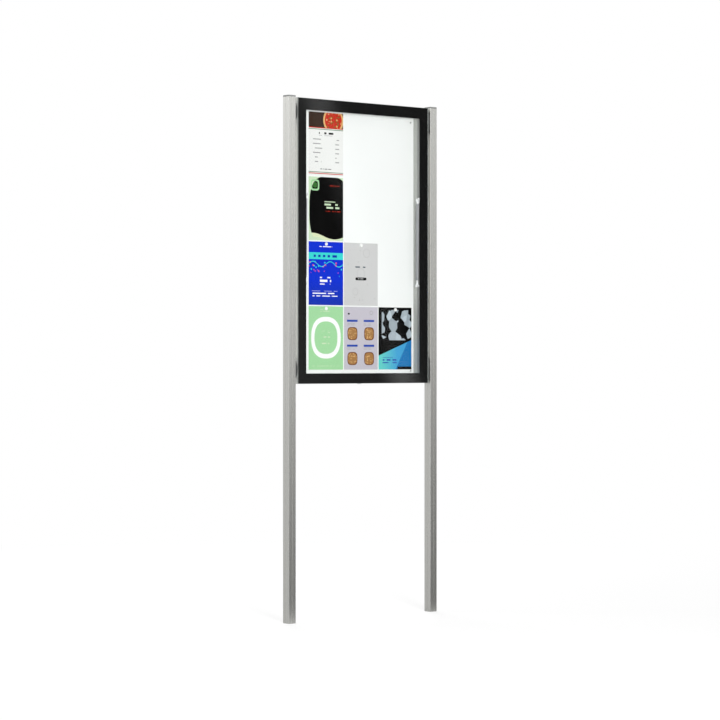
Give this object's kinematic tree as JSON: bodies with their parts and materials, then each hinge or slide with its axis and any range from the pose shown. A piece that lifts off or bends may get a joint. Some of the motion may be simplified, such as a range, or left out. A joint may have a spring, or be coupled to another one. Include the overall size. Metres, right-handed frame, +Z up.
{
  "type": "lockable notice board",
  "caption": "Lockable outdoor notice board on posts, with a top-hung glazed door, gas struts and a white back panel.",
  "frame": {"origin": "on the ground, in the middle of the footprint of both posts", "axes": "+Z up, the glazed front faces -Y, +X is the viewer's right"},
  "size_m": [0.9212, 0.064, 2.44],
  "materials": {
    "anodised": "satin anodised",
    "cap": "grey moulded cap",
    "black_plastic": "black moulded",
    "steel": "zinc plated",
    "glass": "clear toughened",
    "border": "black enamel behind the glass",
    "rubber": "matt",
    "panel": "white enamelled",
    "cover": "mill",
    "chrome": "bright plated",
    "tube": "lacquered",
    "paper": "printed paper"
  },
  "bodies": {
    "board": {"back_panel": "panel", "bracket_bolt_lower_left": "steel", "bracket_bolt_lower_right": "steel", "bracket_bolt_upper_left": "steel", "bracket_bolt_upper_right": "steel", "bracket_lower_left": "black_plastic", "bracket_lower_right": "black_plastic", "bracket_upper_left": "black_plastic", "bracket_upper_right": "black_plastic", "case_cleat_lower_left": "anodised", "case_cleat_lower_right": "anodised", "case_cleat_upper_left": "anodised", "case_cleat_upper_right": "anodised", "case_rail_bottom": "anodised", "case_rail_left": "anodised", "case_rail_right": "anodised", "case_rail_top": "anodised", "case_seal": "rubber", "hinge_leaf_case": "anodised", "hinge_pin": "steel", "lock_barrel": "chrome", "lock_nut": "steel", "notice_sheet_row1_column1": "paper", "notice_sheet_row2_column1": "paper", "notice_sheet_row3_column1": "paper", "notice_sheet_row3_column2": "paper", "notice_sheet_row4_column1": "paper", "notice_sheet_row4_column2": "paper", "notice_sheet_row4_column3": "paper", "panel_screw_lower_left": "steel", "panel_screw_lower_right": "steel", "panel_screw_upper_left": "steel", "panel_screw_upper_right": "steel", "post_cap_left": "cap", "post_cap_right": "cap", "post_left": "anodised", "post_right": "anodised", "rear_cover": "cover"},
    "door": {"door_glass": "glass", "glass_border": "border", "door_rail_top": "anodised", "door_rail_bottom": "anodised", "door_rail_left": "anodised", "door_rail_right": "anodised", "hinge_leaf_door": "anodised", "strut_stud_upper_left": "chrome", "strut_stud_upper_right": "chrome", "lock_keeper": "steel"},
    "lock": {"lock_plug": "steel", "lock_cam": "steel"},
    "strut_cylinder_left": {"strut_cylinder_left": "tube", "strut_socket_upper_left": "chrome"},
    "strut_rod_left": {"strut_rod_left": "chrome", "strut_socket_lower_left": "chrome", "strut_stud_lower_left": "chrome"},
    "strut_cylinder_right": {"strut_cylinder_right": "tube", "strut_socket_upper_right": "chrome"},
    "strut_rod_right": {"strut_rod_right": "chrome", "strut_socket_lower_right": "chrome", "strut_stud_lower_right": "chrome"}
  },
  "joints": [
    {"name": "door_hinge", "type": "hinge", "parent": "board", "child": "door", "pos_m": [0, -0.0046, 2.4277], "axis": [-1, 0, 0], "range_deg": [0, 60]},
    {"name": "strut_tilt_left", "type": "hinge", "parent": "door", "child": "strut_cylinder_left", "pos_m": [-0.3492, -0.0182, 1.986], "axis": [1, 0, 0], "range_deg": [0, 90]},
    {"name": "strut_extend_left", "type": "slide", "parent": "strut_cylinder_left", "child": "strut_rod_left", "axis": [0, 0.0104, -0.9999], "range_m": [0, 0.3363]},
    {"name": "strut_tilt_right", "type": "hinge", "parent": "door", "child": "strut_cylinder_right", "pos_m": [0.3492, -0.0182, 1.986], "axis": [1, 0, 0], "range_deg": [0, 90]},
    {"name": "strut_extend_right", "type": "slide", "parent": "strut_cylinder_right", "child": "strut_rod_right", "axis": [0, 0.0104, -0.9999], "range_m": [0, 0.3363]},
    {"name": "lock_turn", "type": "hinge", "parent": "board", "child": "lock", "pos_m": [0, 0.0087, 1.1246], "axis": [0, 0, -1], "range_deg": [0, 90]}
  ],
  "couplings": [
    {"joint": "strut_tilt_left", "follows": "door_hinge", "ratio": 1.4987},
    {"joint": "strut_extend_left", "follows": "door_hinge", "m_per_rad": 0.32113},
    {"joint": "strut_tilt_right", "follows": "door_hinge", "ratio": 1.4987},
    {"joint": "strut_extend_right", "follows": "door_hinge", "m_per_rad": 0.32113}
  ]
}
